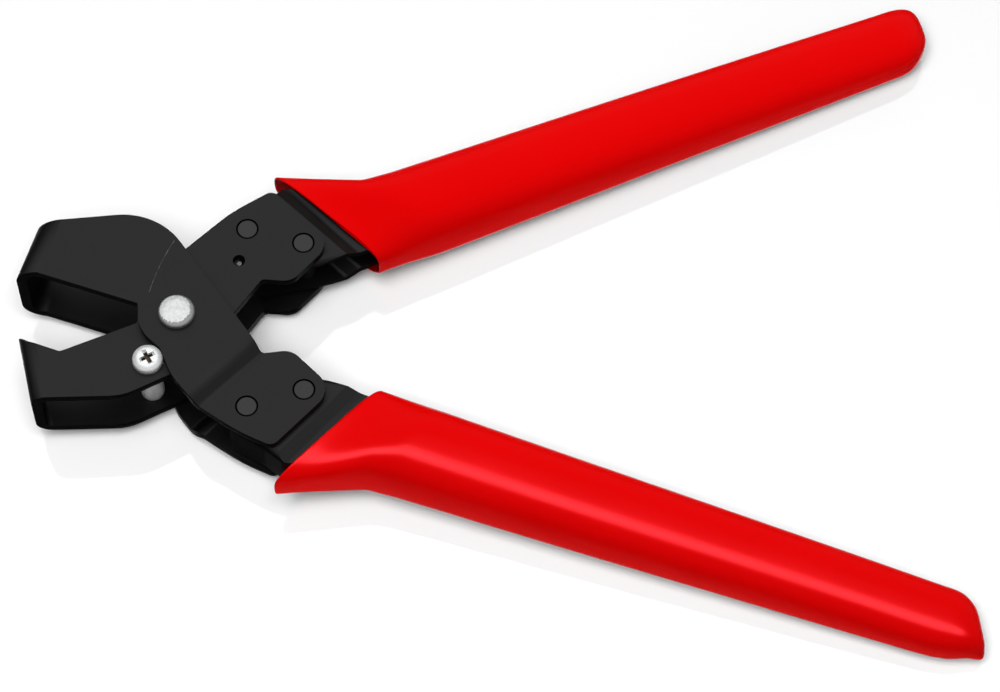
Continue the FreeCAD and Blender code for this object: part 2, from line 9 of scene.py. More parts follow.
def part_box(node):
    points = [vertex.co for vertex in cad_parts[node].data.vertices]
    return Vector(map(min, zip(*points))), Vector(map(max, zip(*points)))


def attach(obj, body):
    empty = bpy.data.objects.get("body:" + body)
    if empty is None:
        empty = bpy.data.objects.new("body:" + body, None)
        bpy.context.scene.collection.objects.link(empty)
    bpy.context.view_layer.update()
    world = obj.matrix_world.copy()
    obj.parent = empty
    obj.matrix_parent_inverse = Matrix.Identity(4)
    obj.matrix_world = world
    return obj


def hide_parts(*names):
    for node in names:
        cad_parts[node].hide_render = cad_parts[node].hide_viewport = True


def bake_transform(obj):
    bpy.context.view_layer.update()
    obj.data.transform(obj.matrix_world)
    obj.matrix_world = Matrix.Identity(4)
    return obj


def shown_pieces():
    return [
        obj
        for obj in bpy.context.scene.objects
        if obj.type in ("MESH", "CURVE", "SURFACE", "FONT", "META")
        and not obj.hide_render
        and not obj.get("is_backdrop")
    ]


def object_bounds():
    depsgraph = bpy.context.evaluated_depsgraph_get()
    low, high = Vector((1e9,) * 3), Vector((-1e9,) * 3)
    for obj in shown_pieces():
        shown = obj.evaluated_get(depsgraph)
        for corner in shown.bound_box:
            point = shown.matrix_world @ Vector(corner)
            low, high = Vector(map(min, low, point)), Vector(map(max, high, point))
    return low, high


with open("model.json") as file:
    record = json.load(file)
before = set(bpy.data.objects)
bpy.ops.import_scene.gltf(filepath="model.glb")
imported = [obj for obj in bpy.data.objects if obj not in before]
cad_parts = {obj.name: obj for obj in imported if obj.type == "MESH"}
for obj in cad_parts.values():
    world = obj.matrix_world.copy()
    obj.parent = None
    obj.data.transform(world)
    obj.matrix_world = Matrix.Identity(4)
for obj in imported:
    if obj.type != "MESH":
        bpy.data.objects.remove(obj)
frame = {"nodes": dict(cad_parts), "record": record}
cad_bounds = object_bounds()

scene = bpy.context.scene
MM = 0.001                           # what is said to be in mm is multiplied by this

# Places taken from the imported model.
pin_low, pin_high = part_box("pivot_pin")
MID = frame["record"]["behaviour"]["joints"][0]["pos_m"][2]      # middle level of the levers
PIN_HEAD_RADIUS = (pin_high.x - pin_low.x) / 2

RING_WIDTH = 0.00038                 # width of the painted shade in the groove round a flush rivet
LIGHT_LINE_ARC = (0.0487, -0.0091, 0.0577)  # centre and radius of the light line's arc on the die plate
LIGHT_LINE_SPAN = (0.0060, 0.0205)      # lowest and highest Y that it reaches
LIGHT_LINE_HALF_WIDTH = 0.00009
RECESS_RADIUS = 0.0024               # the stop screw's cross recess
RECESS_SHADOW = (0.00075, 0.0024)    # depths below the screw's top between which it is stained and painted in shade

# Colours that lie over a plain finish, some of them painted shade, and the two ends of the red's
# slight clouding.
# near black: painted shade in the grooves round the flush rivets
GROOVE_PAINTED_SHADE = (0.0004, 0.0004, 0.0004, 1)
LIGHT_LINE_GREY = (0.085, 0.085, 0.085, 1)
# painted shade round the rim of the pivot's domed heads
RIM_SHADE_ZINC = (0.22, 0.22, 0.22, 1)
# brown stain together with painted shade, down in the stop screw's recess
RECESS_STAIN_AND_SHADE = (0.055, 0.036, 0.022, 1)
RED_DARK, RED_LIGHT = (0.67, 0.0002, 0.0003), (0.69, 0.0004, 0.0005)
RED_SHEEN = (1.0, 0.072, 0.092, 1.0)


# Small helpers for node trees ---------------------------------------------------------

def put(tree, kind, values=None, **props):
    """Adds a node; values are {socket: number, colour or another node's output}."""
    node = tree.nodes.new(kind)
    for key, value in props.items():
        setattr(node, key, value)
    for key, value in (values or {}).items():
        socket = node.inputs[key]
        if isinstance(value, bpy.types.NodeSocket):
            tree.links.new(value, socket)
        else:
            socket.default_value = value
    return node


def maths(tree, operation, a, b=0.0, c=0.0):
    node = put(tree, "ShaderNodeMath", {0: a, 1: b, 2: c}, operation=operation)
    return node.outputs[0]


def ramp(tree, value, stops, smooth=False):
    """Colour ramp from (position, grey or colour) stops."""
    node = put(tree, "ShaderNodeValToRGB", {0: value})
    bar = node.color_ramp
    if smooth:
        bar.interpolation = "EASE"
    while len(bar.elements) < len(stops):
        bar.elements.new(0.5)
    for element, (position, colour) in zip(bar.elements, stops):
        if not isinstance(colour, tuple):
            colour = (colour, colour, colour)
        element.position = position
        element.color = (*colour, 1.0)
    return node.outputs[0]


def between(tree, pattern, low, high):
    """Spreads a noise pattern, most of which lies from 0.3 to 0.7, over low to high."""
    return ramp(tree, pattern, [(0.3, low), (0.7, high)])


def noise(tree, scale, detail=3.0, roughness=0.5):
    """Noise over the object's own coordinates, in cells per metre."""
    spot = put(tree, "ShaderNodeTexCoord").outputs["Object"]
    values = {"Vector": spot, "Scale": scale, "Detail": detail, "Roughness": roughness}
    return put(tree, "ShaderNodeTexNoise", values).outputs[0]


def material(name, **uniform):
    """A Principled material; uniform values go straight onto the shader's sockets."""
    made = bpy.data.materials.new(name)
    made.use_nodes = True
    tree = made.node_tree
    shader = tree.nodes["Principled BSDF"]
    for key, value in uniform.items():
        shader.inputs[key.replace("_", " ")].default_value = value
    return made, tree, shader


def mix(tree, share, a, b):
    node = put(tree, "ShaderNodeMix", data_type="RGBA")
    for socket, value in ((node.inputs[0], share), (node.inputs[6], a), (node.inputs[7], b)):
        if isinstance(value, bpy.types.NodeSocket):
            tree.links.new(value, socket)
        else:
            socket.default_value = value
    return node.outputs[2]


def bump(tree, shader, height, distance, strength=1.0):
    values = {"Height": height, "Distance": distance, "Strength": strength}
    node = put(tree, "ShaderNodeBump", values)
    tree.links.new(node.outputs[0], shader.inputs["Normal"])


def wear(obj, made):
    obj.data.materials.clear()
    obj.data.materials.append(made)


# Materials ----------------------------------------------------------------------------

def distance_from(tree, x, y, centre):
    """Distance in plan from a centre, in metres."""
    away_x = maths(tree, "SUBTRACT", x, centre[0])
    away_y = maths(tree, "SUBTRACT", y, centre[1])
    return maths(tree, "SQRT", maths(tree, "ADD", maths(tree, "MULTIPLY", away_x, away_x),
                                     maths(tree, "MULTIPLY", away_y, away_y)))


def plan_position(tree):
    """The object's own X, Y and Z as three outputs."""
    spot = put(tree, "ShaderNodeTexCoord").outputs["Object"]
    return put(tree, "ShaderNodeSeparateXYZ", {0: spot}).outputs


def painted_ring_shade(tree, shader, rivets):
    """Painted shade: the grooves round the flush rivets are drawn near black, as shade falls in
    them.
    """
    x, y, _ = plan_position(tree)
    share = 0.0
    for rivet in rivets:
        low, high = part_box(rivet)
        off = distance_from(tree, x, y, ((low.x + high.x) / 2, (low.y + high.y) / 2))
        middle = (high.x - low.x) / 2 + RING_WIDTH / 2
        gap = maths(tree, "ABSOLUTE", maths(tree, "SUBTRACT", off, middle))
        share = maths(tree, "MAXIMUM", share, maths(tree, "LESS_THAN", gap, RING_WIDTH / 2))
    shadow = put(tree, "ShaderNodeBsdfDiffuse", {"Color": GROOVE_PAINTED_SHADE})
    both = put(tree, "ShaderNodeMixShader", {0: share, 1: shader.outputs[0], 2: shadow.outputs[0]})
    tree.links.new(both.outputs[0], tree.nodes["Material Output"].inputs[0])


def lacquered_steel(rivets=()):
    made, tree, shader = material("black_lacquered_steel", Specular_IOR_Level=0.35)
    cloud = noise(tree, 260.0, 4.0, 0.6)
    grain = noise(tree, 5200.0, 2.0, 0.6)
    tree.links.new(between(tree, cloud, 0.0010, 0.0018), shader.inputs["Base Color"])
    tree.links.new(between(tree, cloud, 0.44, 0.50), shader.inputs["Roughness"])
    bump(tree, shader, grain, 0.00002, 0.25)
    # painted shade in the grooves round these rivets
    if rivets:
        painted_ring_shade(tree, shader, rivets)
    return made


def die_plate_steel():
    """The same lacquer, with a fine curved light line across the plate."""
    made = lacquered_steel(("die_rivet_front", "die_rivet_rear"))
    made.name = "black_lacquered_steel_die"
    tree = made.node_tree
    shader = tree.nodes["Principled BSDF"]
    x, y, _ = plan_position(tree)
    centre_x, centre_y, radius = LIGHT_LINE_ARC
    away = distance_from(tree, x, y, (centre_x, centre_y))
    off = maths(tree, "ABSOLUTE", maths(tree, "SUBTRACT", away, radius))
    line = maths(tree, "LESS_THAN", off, LIGHT_LINE_HALF_WIDTH)
    low, high = LIGHT_LINE_SPAN
    inside = maths(tree, "MULTIPLY", maths(tree, "GREATER_THAN", y, low),
                   maths(tree, "LESS_THAN", y, high))
    broken = ramp(tree, noise(tree, 900.0, 2.0), [(0.35, 0.1), (0.65, 1.0)])
    share = maths(tree, "MULTIPLY", maths(tree, "MULTIPLY", line, inside), broken)
    plain = shader.inputs["Base Color"].links[0].from_socket
    tree.links.new(mix(tree, share, plain, LIGHT_LINE_GREY), shader.inputs["Base Color"])
    return made


def rivet_steel():
    made, tree, shader = material("blackened_rivet_steel", Specular_IOR_Level=0.5)
    grain = noise(tree, 3800.0, 3.0, 0.7)
    tree.links.new(between(tree, grain, 0.006, 0.018), shader.inputs["Base Color"])
    tree.links.new(between(tree, grain, 0.38, 0.55), shader.inputs["Roughness"])
    bump(tree, shader, grain, 0.00006, 0.5)
    return made


def dipped_red():
    made, tree, shader = material("red_dipped_grip", Specular_IOR_Level=0.25,
                                  Specular_Tint=RED_SHEEN)
    cloud = noise(tree, 38.0, 3.0, 0.5)
    tree.links.new(between(tree, cloud, RED_DARK, RED_LIGHT), shader.inputs["Base Color"])
    tree.links.new(between(tree, cloud, 0.20, 0.23), shader.inputs["Roughness"])
    bump(tree, shader, noise(tree, 90.0, 2.0), 0.0003, 0.06)
    return made


def zinc(name, mottle, low, high, metallic=0.7):
    """Zinc plate in patches of mottle cells per metre, from low to high brightness."""
    made, tree, shader = material(name, Metallic=metallic)
    patches = noise(tree, mottle, 4.0, 0.65)
    tint = ramp(tree, patches, [(0.35, (low, low * 1.02, low * 1.03)),
                                (0.65, (high, high * 1.01, high * 1.01))])
    tree.links.new(tint, shader.inputs["Base Color"])
    tree.links.new(between(tree, patches, 0.36, 0.50), shader.inputs["Roughness"])
    bump(tree, shader, patches, 0.00012, 0.5)
    return made


def pin_zinc():
    """Zinc plate, with painted shade in ragged patches round the rim of the domed heads, heavier
    towards +X and -Y.
    """
    made = zinc("zinc_plated_pin", 1100.0, 0.60, 0.84)
    tree = made.node_tree
    shader = tree.nodes["Principled BSDF"]
    x, y, _ = plan_position(tree)
    away = distance_from(tree, x, y, (0.0, 0.0))
    leaning = maths(tree, "MULTIPLY_ADD", maths(tree, "SUBTRACT", x, y), 0.10, away)
    ragged = maths(tree, "MULTIPLY_ADD", noise(tree, 1500.0, 4.0, 0.7), 0.0016, leaning)
    # painted shade, ragged, round the head's rim and heavier towards +X and -Y
    rim = ramp(tree, maths(tree, "DIVIDE", ragged, PIN_HEAD_RADIUS), [(0.97, 0.0), (1.15, 0.85)])
    plain = shader.inputs["Base Color"].links[0].from_socket
    tree.links.new(mix(tree, rim, plain, RIM_SHADE_ZINC), shader.inputs["Base Color"])
    return made


def screw_zinc():
    """Zinc plate with a brown stain and painted shade down in the cross recess."""
    made = zinc("zinc_plated_screw", 1300.0, 0.84, 0.95, 0.55)
    tree = made.node_tree
    shader = tree.nodes["Principled BSDF"]
    screw_low, screw_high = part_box("stop_screw")
    x, y, z = plan_position(tree)
    middle = ((screw_low.x + screw_high.x) / 2, (screw_low.y + screw_high.y) / 2)
    away = distance_from(tree, x, y, middle)
    deep = maths(tree, "LESS_THAN", z, screw_high.z - RECESS_SHADOW[0])
    near = maths(tree, "LESS_THAN", away, RECESS_RADIUS)
    upper = maths(tree, "GREATER_THAN", z, screw_high.z - RECESS_SHADOW[1])
    share = maths(tree, "MULTIPLY", maths(tree, "MULTIPLY", deep, near), upper)
    # the recess is stained brown and painted in shade
    plain = shader.inputs["Base Color"].links[0].from_socket
    tree.links.new(mix(tree, share, plain, RECESS_STAIN_AND_SHADE), shader.inputs["Base Color"])
    return made


def bright_wire():
    made, tree, shader = material("spring_wire", Metallic=1.0)
    streak = noise(tree, 700.0, 3.0, 0.6)
    tree.links.new(between(tree, streak, 0.10, 0.18), shader.inputs["Base Color"])
    tree.links.new(between(tree, streak, 0.25, 0.38), shader.inputs["Roughness"])
    return made


# The grips ----------------------------------------------------------------------------
#
# A grip is worked out along its handle, in mm: u runs along the handle's centre line from
# the pivot, v across it and outwards, w upwards from the levers' middle.

HANDLE_ANGLE = math.radians(20.54)   # half of the angle between the open handles
HANDLE_OFFSET = 11.65                # the centre line above the pivot, along Y
SIN, COS = math.sin(HANDLE_ANGLE), math.cos(HANDLE_ANGLE)

# The skin's length and mouth start from the box of the CAD grip that it replaces.
grip_low, grip_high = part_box("punch_grip")
END_CORNER = 2.708                   # the closed end's corner beyond the centre line, along X
GRIP_END = (grip_high.x / MM - END_CORNER) / COS
TIP_AHEAD, INNER_ROUNDED = 0.75, 2.18
MOUTH_WIDTH = 24.3                   # across the oblique mouth, along Y
MOUTH_LENGTH = 25.7                  # the same, along X
MOUTH_TIP = (grip_low.x / MM - TIP_AHEAD, grip_low.y / MM + INNER_ROUNDED + MOUTH_WIDTH)
MOUTH_INNER = (MOUTH_TIP[0] + MOUTH_LENGTH, MOUTH_TIP[1] - MOUTH_WIDTH)

# Half sizes of a section, which hold at SIZES_AT and taper along the handle.
SIZES_AT = 60
HALF_WIDTH, WIDTH_TAPER = 12.0, 0.0218
HALF_HEIGHT, HEIGHT_TAPER = 9.9, 0.0255
END_THINNING, END_THINNING_START, END_THINNING_RUN = 0.35, 168, 30
FLARE_CLOSING = math.radians(4.0)    # how fast the flare closes on the handle
WAIST, WAIST_RUN = 0.25, 60          # the grip is drawn in a little behind the flare
EDGE_BLEND = 0.25                    # rounding between the flare's edge and the handle's
MOUTH_START, MOUTH_RUN = 1.5, 16.0   # behind the mouth the grip rises to its full height
MOUTH_DROP = 3.6                     # how much less high it is at the mouth
SAG = 0.85                           # the grip hangs this much below the levers' middle,
SAG_EASING, SAG_EASING_START, SAG_EASING_RUN = 0.25, 90, 60    # and less along the handle

# Power of the superellipse that a section follows: 2 is round, higher is squarer.
SQUARENESS = 2.68
MOUTH_SQUARER, SQUARE_UNTIL, SQUARE_RUN = 0.9, 62, 22
END_ROUNDER, ROUNDER_START, ROUNDER_RUN = 0.07, 70, 110
HOLLOW_SQUARENESS, LIP_SQUARENESS = 5.0, 4.0

# The hollow and the rounded lip at the mouth.
SIDE_WALL, TOP_WALL = 2.65, 2.3
HOLLOW_END = 202.0
HOLLOW_FRONT = 14                    # depth behind the mouth where the wall starts to thin
THINNING_WALL = (                    # depth, side wall, top wall and squareness of a row
    (9, 2.5, 2.0, 4.8),
    (5, 2.1, 1.6, 4.4),
    (2, 1.3, 1.2, 4.2),
)
LIP_WALL, LIP_RADIUS, LIP_INNER_RADIUS = 0.78, 0.4, 0.3

# The outside: a flare as far as FLARE_END, a taper, and a closed end of END_LENGTH.
FLARE_END = 78.0
END_LENGTH = 11.0
END_START = GRIP_END - END_LENGTH
END_ROUNDNESS = 2.4
SLANT_START, SLANT_RUN = 186, 22
BEND_START, BEND_BLEND = 202.5, 1.2
BEND_INNER, BEND_ACROSS = -8, 18     # the bend grows over this stretch across the grip
NUB_PULL = (0.85, 0.45, -0.25)       # the way in which the last drop hung off

AROUND = 128                         # points round a section
HOLLOW_ROWS, INNER_LIP_ROWS, LIP_ROWS = 14, 4, 9
FLARE_ROWS, TAPER_ROWS, END_ROWS = 60, 40, 32
FLARE_SPACING = 1.15                 # the flare's rows lie closer together near the mouth
TURNS = [2 * math.pi * (k + 0.5) / AROUND for k in range(AROUND)]


def clamped(value):
    return max(0.0, min(1.0, value))


def smooth_share(value):
    value = clamped(value)
    return value * value * (3 - 2 * value)


def signed_power(value, power):
    return math.copysign(abs(value) ** power, value)


def soft_max(a, b, blend):
    return (a + b) / 2 + math.sqrt(((a - b) / 2) ** 2 + blend ** 2)


def half_width(u):
    return HALF_WIDTH - WIDTH_TAPER * (u - SIZES_AT)


def half_height(u):
    thinning = END_THINNING * smooth_share((u - END_THINNING_START) / END_THINNING_RUN)
    return HALF_HEIGHT - HEIGHT_TAPER * (u - SIZES_AT) - thinning


def outer_edge(u):
    """How far the grip reaches outwards: the handle's side, or the flare near the mouth."""
    flare = TIP_V - (u - TIP_U) * math.tan(HANDLE_ANGLE + FLARE_CLOSING)
    waist = WAIST * (1 - smooth_share((u - SIZES_AT) / WAIST_RUN))
    return soft_max(half_width(u) - waist, flare, EDGE_BLEND)


def to_handle(x, y):
    return x * COS + (y - HANDLE_OFFSET) * SIN, -x * SIN + (y - HANDLE_OFFSET) * COS


TIP_U, TIP_V = to_handle(*MOUTH_TIP)
INNER_U, INNER_V = to_handle(*MOUTH_INNER)
MOUTH_FACE = math.hypot(1, (INNER_U - TIP_U) / (TIP_V - INNER_V))


def mouth_u(v):
    """Where the oblique mouth plane lies at a place across the handle."""
    return TIP_U + (TIP_V - v) * (INNER_U - TIP_U) / (TIP_V - INNER_V)


def squareness_at(u):
    """Squarest at the mouth, rounder along the handle."""
    return (SQUARENESS + MOUTH_SQUARER * clamped((SQUARE_UNTIL - u) / SQUARE_RUN)
            - END_ROUNDER * smooth_share((u - ROUNDER_START) / ROUNDER_RUN))


def section_point(u, turn, cut_side=0.0, cut_top=0.0, squareness=None):
    """A point of the section at u, cut back from the outside by a wall, as [u, v, w]."""
    out, inn = outer_edge(u), -half_width(u)
    middle, half = (out + inn) / 2, (out - inn) / 2 - cut_side
    power = 2 / (squareness or squareness_at(u))
    v = middle + half * signed_power(math.cos(turn), power)
    risen = smooth_share(((u - mouth_u(v)) / MOUTH_FACE - MOUTH_START) / MOUTH_RUN)
    tall = half_height(u) - MOUTH_DROP * (1 - risen) - cut_top
    sag = risen * (SAG - SAG_EASING * smooth_share((u - SAG_EASING_START) / SAG_EASING_RUN))
    return [u, v, tall * signed_power(math.sin(turn), power) - sag]


def mouth_start(turn):
    """Where the oblique mouth cuts the skin, at one turn round the section."""
    guess = 40.0
    squareness = squareness_at(guess)
    u = guess
    for _ in range(30):
        u = mouth_u(section_point(u, turn, squareness=squareness)[1])
    return u


def mouth_row(starts, depth, cut_side, cut_top, squareness=None):
    """A row of points parallel to the mouth, at a depth behind it."""
    return [section_point(start + depth * MOUTH_FACE, turn, cut_side, cut_top, squareness)
            for turn, start in zip(TURNS, starts)]


def hollow_rows(starts):
    """The inside, from its deep end towards the mouth."""
    rows = []
    for k in range(HOLLOW_ROWS):
        share = k / (HOLLOW_ROWS - 1)
        row = []
        for turn, start in zip(TURNS, starts):
            u = HOLLOW_END + (start + HOLLOW_FRONT * MOUTH_FACE - HOLLOW_END) * share
            row.append(section_point(u, turn, SIDE_WALL, TOP_WALL, HOLLOW_SQUARENESS))
        rows.append(row)
    return rows


def lip_rows(starts):
    """The thinning wall at the mouth, then round the lip and out onto the grip."""
    rows = [mouth_row(starts, *wall) for wall in THINNING_WALL]
    for k in range(INNER_LIP_ROWS):
        phi = math.pi / 2 * k / (INNER_LIP_ROWS - 1)
        cut = LIP_WALL - LIP_INNER_RADIUS * (1 - math.cos(phi))
        depth = LIP_INNER_RADIUS * (1 - math.sin(phi))
        rows.append(mouth_row(starts, depth, cut, cut, LIP_SQUARENESS))
    for k in range(LIP_ROWS):
        phi = math.pi / 2 * (1 - k / (LIP_ROWS - 1))
        cut = LIP_RADIUS * (1 - math.cos(phi))
        rows.append(mouth_row(starts, LIP_RADIUS * (1 - math.sin(phi)), cut, cut))
    return rows


def flare_and_taper_rows(starts):
    """From the oblique mouth to sections square to the handle, then the long taper."""
    rows = []
    for k in range(1, FLARE_ROWS + 1):
        share = (k / FLARE_ROWS) ** FLARE_SPACING
        row = []
        for turn, start in zip(TURNS, starts):
            begin = start + LIP_RADIUS * MOUTH_FACE
            row.append(section_point(begin + (FLARE_END - begin) * share, turn))
        rows.append(row)
    for k in range(1, TAPER_ROWS + 1):
        u = FLARE_END + (END_START - FLARE_END) * k / TAPER_ROWS
        rows.append([section_point(u, turn) for turn in TURNS])
    return rows


def end_rows(inner_square, outer_square):
    """The closed end, with one squareness on its inner side and another on its outer side."""
    rows = []
    for k in range(1, END_ROWS + 1):
        phi = math.pi / 2 * k / (END_ROWS + 1)
        row = []
        for turn in TURNS:
            outward = 0.5 + 0.5 * math.cos(turn)
            power = 2 / (inner_square + (outer_square - inner_square) * outward)
            reach = math.sin(phi) ** power
            narrowing = math.cos(phi) ** power
            thinning = (1 - reach ** END_ROUNDNESS) ** (1 / END_ROUNDNESS)
            _, v, w = section_point(END_START, turn)
            row.append([END_START + END_LENGTH * reach, v * narrowing, w * thinning])
        rows.append(row)
    return rows


def shape_end(row, slant, bend, nub):
    """Slants the closed end, bends its outer side inwards and pulls out the drip nub."""
    for point in row:
        near_end = clamped((point[0] - SLANT_START) / SLANT_RUN)
        point[0] += slant * point[1] * near_end * near_end
        outward = smooth_share((point[1] - BEND_INNER) / BEND_ACROSS)
        point[1] -= bend * outward * soft_max(0.0, point[0] - BEND_START, BEND_BLEND)
        if nub:
            place, reach, height = nub
            gone = sum((p - q) ** 2 for p, q in zip(point, place)) / reach ** 2
            pull = height * math.exp(-gone)
            for i in range(3):
                point[i] += pull * NUB_PULL[i]


def linked_object(name, shape):
    """Turns a finished bmesh into an object of the scene."""
    mesh = bpy.data.meshes.new(name)
    shape.to_mesh(mesh)
    shape.free()
    made = bpy.data.objects.new(name, mesh)
    scene.collection.objects.link(made)
    return made


def sleeve(name, side, rows):
    """A closed skin through rows of points; side is 1 for the +Y handle, -1 for the other."""
    shape = bmesh.new()
    grid = [[shape.verts.new((MM * (u * COS - v * SIN),
                              side * MM * (HANDLE_OFFSET + u * SIN + v * COS),
                              MID + MM * w))
             for u, v, w in row] for row in rows]
    for low, high in zip(grid, grid[1:]):
        for k in range(AROUND):
            following = (k + 1) % AROUND
            shape.faces.new((low[k], low[following], high[following], high[k]))
    for row in (grid[0], grid[-1]):
        centre = [sum(v.co[i] for v in row) / AROUND for i in range(3)]
        hub = shape.verts.new(centre)
        for k in range(AROUND):
            shape.faces.new((row[k], row[(k + 1) % AROUND], hub))
    bmesh.ops.recalc_face_normals(shape, faces=shape.faces)
    for face in shape.faces:
        face.smooth = True
    return linked_object(name, shape)


def grip_mesh(name, side, inner_square, outer_square, slant, bend=0.0, nub=None):
    """A dipped sleeve: thin lip at an oblique mouth, flare, long taper, closed end."""
    starts = [mouth_start(turn) for turn in TURNS]
    outside = lip_rows(starts) + flare_and_taper_rows(starts) + end_rows(inner_square, outer_square)
    for row in outside:
        shape_end(row, slant, bend, nub)
    return sleeve(name, side, hollow_rows(starts) + outside)


red = dipped_red()
punch_grip = grip_mesh("punch_grip_skin", 1, inner_square=2.3, outer_square=3.5, slant=0.13)
DRIP_NUB = ((211.6, 5.0, -2.0), 2.0, 1.5)      # its place, reach and height
die_grip = grip_mesh("die_grip_skin", -1, inner_square=3.8, outer_square=5.0, slant=0.36,
                     bend=0.375, nub=DRIP_NUB)
for skin, body, node in ((punch_grip, "punch_lever", "punch_grip"),
                         (die_grip, "die_lever", "die_grip")):
    wear(skin, red)
    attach(skin, body)
    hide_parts(node)


# The opening spring -------------------------------------------------------------------

# All in mm and from the middle level.
WIRE_RADIUS = 0.75
COIL_RADIUS, COIL_START, COIL_PITCH = 6.1, -2.6, 1.9
COIL_FIRST_ANGLE, COIL_SWEPT = math.radians(29.98), math.radians(1381.8)
COIL_STEPS, LEG_STEPS = 320, 8
LOWER_LEG = 33.3
HOLE_DISTANCE, HOLE_ANGLE = 22.06, math.radians(45.7)    # the hole that the wire's end fills
UPPER_BEND = 1.6
WIRE_TOP, TOP_STEPS = 8.3, 5


def spring_path():
    """Lower leg, coil, upper leg and its end bent up into the hole of the punch plate."""
    start = Vector((COIL_RADIUS * math.cos(COIL_FIRST_ANGLE),
                    COIL_RADIUS * math.sin(COIL_FIRST_ANGLE), COIL_START))
    tangent = Vector((-math.sin(COIL_FIRST_ANGLE), math.cos(COIL_FIRST_ANGLE),
                      COIL_PITCH / (2 * math.pi * COIL_RADIUS))).normalized()
    points = [start - tangent * LOWER_LEG * (1 - k / LEG_STEPS) for k in range(LEG_STEPS)]
    for k in range(COIL_STEPS + 1):
        angle = COIL_FIRST_ANGLE + COIL_SWEPT * k / COIL_STEPS
        height = COIL_START + COIL_PITCH * COIL_SWEPT * k / COIL_STEPS / (2 * math.pi)
        points.append(Vector((COIL_RADIUS * math.cos(angle),
                              COIL_RADIUS * math.sin(angle), height)))
    last = points[-1]
    hole = Vector((HOLE_DISTANCE * math.cos(HOLE_ANGLE), HOLE_DISTANCE * math.sin(HOLE_ANGLE), 0))
    along = Vector((hole.x - last.x, hole.y - last.y, 0))
    run = along.length - UPPER_BEND
    along.normalize()
    for k in range(1, LEG_STEPS + 1):
        points.append(last + along * run * k / LEG_STEPS)
    corner = points[-1] + Vector((0, 0, UPPER_BEND))
    for k in range(1, LEG_STEPS + 1):
        phi = math.pi / 2 * k / LEG_STEPS
        points.append(corner + along * UPPER_BEND * math.sin(phi)
                      - Vector((0, 0, UPPER_BEND * math.cos(phi))))
    top = points[-1]
    for k in range(1, TOP_STEPS + 1):
        points.append(Vector((top.x, top.y, top.z + (WIRE_TOP - top.z) * k / TOP_STEPS)))
    return points


def tube_mesh(name, points, radius, sides=14):
    """A round wire along points, a little thinner at its two cut ends."""
    shape = bmesh.new()
    rings = []
    frame_up = Vector((0, 0, 1))
    for k, point in enumerate(points):
        ahead = points[min(k + 1, len(points) - 1)] - points[max(k - 1, 0)]
        ahead.normalize()
        across = frame_up.cross(ahead)
        if across.length < 1e-4:
            across = Vector((1, 0, 0)).cross(ahead)
        across.normalize()
        frame_up = ahead.cross(across).normalized()
        size = radius * (0.8 if k in (0, len(points) - 1) else 1.0)
        rings.append([
            shape.verts.new(MM * (point + across * size * math.cos(t)
                                  + frame_up * size * math.sin(t)) + Vector((0, 0, MID)))
            for t in (2 * math.pi * j / sides for j in range(sides))
        ])
    for low, high in zip(rings, rings[1:]):
        for j in range(sides):
            shape.faces.new((low[j], low[(j + 1) % sides], high[(j + 1) % sides], high[j]))
    shape.faces.new(rings[0])
    shape.faces.new(rings[-1])
    bmesh.ops.recalc_face_normals(shape, faces=shape.faces)
    for face in shape.faces:
        face.smooth = len(face.verts) == 4
    return linked_object(name, shape)


spring = tube_mesh("opening_spring_wire", spring_path(), WIRE_RADIUS)
wear(spring, bright_wire())
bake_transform(spring)
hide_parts("opening_spring")


# Metal parts of the CAD ---------------------------------------------------------------

plain_black = lacquered_steel()
punch_black = lacquered_steel(("punch_rivet_front", "punch_rivet_rear"))
die_black = die_plate_steel()
rivet_black = rivet_steel()
zinc_pin = pin_zinc()
zinc_screw = screw_zinc()
zinc_bright = zinc("zinc_plated_sleeve", 900.0, 0.70, 0.84, 0.3)
# For each piece its finish, and the width of its rounded edges in mm.
FINISH = {
    "die_strap": (die_black, 0.22),
    "punch_strap": (punch_black, 0.22),
    "die_handle_core": (plain_black, 0.25),
    "punch_handle_core": (plain_black, 0.25),
    "die_rivet_front": (rivet_black, 0.1),
    "die_rivet_rear": (rivet_black, 0.1),
    "punch_rivet_front": (rivet_black, 0.1),
    "punch_rivet_rear": (rivet_black, 0.1),
    "pivot_pin": (zinc_pin, 0.1),
    "pivot_sleeve": (zinc_bright, 0.0),
    "stop_screw": (zinc_screw, 0.1),
    "stop_sleeve": (zinc_bright, 0.1),
    "stop_nut": (zinc_bright, 0.15),
}
for name, (finish, edge) in FINISH.items():
    node = frame["nodes"][name]
    wear(node, finish)
    if edge:
        weld = node.modifiers.new("weld", "WELD")
        weld.merge_threshold = 0.000001
        rounding = node.modifiers.new("edge_rounding", "BEVEL")
        rounding.width = edge * MM
        rounding.segments = 2
        rounding.limit_method = "ANGLE"
        rounding.angle_limit = math.radians(40)
        rounding.harden_normals = True


# Floor, lights and camera -------------------------------------------------------------

TABLE_REACH = 3.0
TABLE_MIDDLE = (0.08, 0.0)
TABLE_MATT, TABLE_WHITE = 0.22, 0.55       # distances where the table starts and ends turning white
BEHIND_MIDDLE = 0.1                        # the grips' ends are beyond this, along X


def floor_slope():
    """The tool lies on its lower pivot head and on the ends of its grips."""
    slope = 1.0
    for skin in (punch_grip, die_grip):
        for vertex in skin.data.vertices:
            if vertex.co.x > BEHIND_MIDDLE:
                slope = min(slope, vertex.co.z / (vertex.co.x - PIN_HEAD_RADIUS))
    return slope


